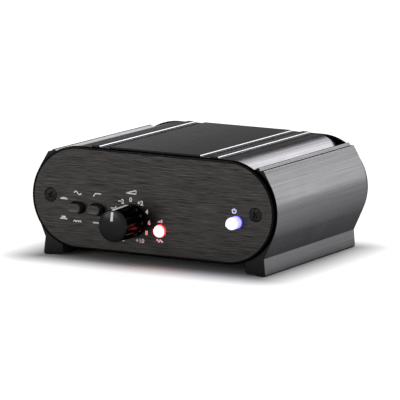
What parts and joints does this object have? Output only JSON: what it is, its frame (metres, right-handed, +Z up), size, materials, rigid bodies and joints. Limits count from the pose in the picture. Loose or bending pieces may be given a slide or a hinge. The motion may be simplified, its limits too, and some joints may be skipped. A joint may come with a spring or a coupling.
{
  "type": "phono preamp",
  "caption": "Small phono preamp in an interlocking two-shell aluminium case with round-ended panels, gain knob, push buttons, indicator lights and rear phono sockets.",
  "frame": {"origin": "on the floor plane under the middle of the whole object, between the soles", "axes": "+X to the right seen from the front, +Y from the front panel to the rear panel, +Z up"},
  "size_m": [0.111, 0.115, 0.0467],
  "materials": {
    "case_aluminium": "dark anodised, satin",
    "bezel_black": "satin moulded",
    "panel_black": "black anodised, brushed",
    "screw_black": "black oxide",
    "knob_black": "fine matte",
    "pointer_white": "matte",
    "button_grey": "semi-gloss",
    "plunger_white": "moulded",
    "switch_black": "moulded",
    "pot_metal": "plated",
    "bush_metal": "nickel plated",
    "steel_bright": "plated",
    "led_red": "lit, clear resin",
    "led_clear": "lit, clear resin",
    "lead_tin": "tinned",
    "spacer_black": "moulded",
    "board_green": "solder mask",
    "socket_black": "moulded",
    "shell_gold": "gold plated",
    "insulator_white": "moulded",
    "insulator_red": "moulded",
    "contact_gold": "gold plated",
    "chip_black": "moulded epoxy",
    "can_sleeve": "shrink sleeve",
    "film_red": "dipped",
    "resistor_blue": "lacquer"
  },
  "bodies": {
    "case": {"lower_shell": "case_aluminium", "top_cover": "case_aluminium", "front_bezel": "bezel_black", "rear_bezel": "bezel_black", "front_panel": "panel_black", "rear_panel": "panel_black", "front_panel_screws": "screw_black", "rear_panel_screws": "screw_black", "gain_pot_body": "pot_metal", "gain_pot_bush": "bush_metal", "gain_pot_washer": "steel_bright", "gain_pot_nut": "steel_bright", "input_type_switch_body": "switch_black", "filter_switch_body": "switch_black", "rear_switch_body": "switch_black", "clip_led": "led_red", "clip_led_leads": "lead_tin", "clip_led_spacer": "spacer_black", "power_led": "led_clear", "power_led_leads": "lead_tin", "power_led_spacer": "spacer_black", "input_socket_block": "socket_black", "input_right_shell": "shell_gold", "input_right_insulator": "insulator_red", "input_right_contact": "contact_gold", "input_left_shell": "shell_gold", "input_left_insulator": "insulator_white", "input_left_contact": "contact_gold", "output_socket_block": "socket_black", "output_right_shell": "shell_gold", "output_right_insulator": "insulator_red", "output_right_contact": "contact_gold", "output_left_shell": "shell_gold", "output_left_insulator": "insulator_white", "output_left_contact": "contact_gold", "inlet_body": "socket_black", "inlet_pin": "steel_bright", "ground_stud": "steel_bright", "ground_inner_nut": "steel_bright", "main_board": "board_green", "control_board": "board_green", "board_header": "chip_black", "op_amps": "chip_black", "electrolytic_capacitors": "can_sleeve", "film_capacitors": "film_red", "resistors": "resistor_blue", "voltage_regulator": "chip_black"},
    "gain_control": {"gain_pot_shaft": "pot_metal", "gain_knob": "knob_black", "gain_knob_pointer": "pointer_white"},
    "input_type_key": {"input_type_button": "button_grey", "input_type_plunger": "plunger_white"},
    "filter_key": {"filter_button": "button_grey", "filter_plunger": "plunger_white"},
    "rear_key": {"rear_button": "button_grey", "rear_plunger": "plunger_white"},
    "ground_clamp": {"ground_washer": "steel_bright"},
    "ground_nut": {"ground_thumb_nut": "steel_bright"}
  },
  "joints": [
    {"name": "gain_knob_turn", "type": "hinge", "parent": "case", "child": "gain_control", "pos_m": [-0.0095, -0.04943, 0.0176], "axis": [0, 1, 0], "range_deg": [-150, 150]},
    {"name": "input_type_press", "type": "slide", "parent": "case", "child": "input_type_key", "axis": [0, 1, 0], "range_m": [0, 0.002], "stiffness_N_per_m": 800, "springref_m": -0.0015},
    {"name": "filter_press", "type": "slide", "parent": "case", "child": "filter_key", "axis": [0, 1, 0], "range_m": [0, 0.002], "stiffness_N_per_m": 800, "springref_m": -0.0015},
    {"name": "rear_button_press", "type": "slide", "parent": "case", "child": "rear_key", "axis": [0, -1, 0], "range_m": [0, 0.002], "stiffness_N_per_m": 800, "springref_m": -0.0015},
    {"name": "ground_clamp_slide", "type": "slide", "parent": "case", "child": "ground_clamp", "axis": [0, 1, 0], "range_m": [0, 0.0021]},
    {"name": "ground_nut_turn", "type": "hinge", "parent": "ground_clamp", "child": "ground_nut", "pos_m": [-0.0108, 0.05037, 0.02], "axis": [0, 1, 0], "range_deg": [0, 1080]}
  ],
  "couplings": [
    {"joint": "ground_nut_turn", "follows": "ground_clamp_slide", "rad_per_m": 8976}
  ]
}
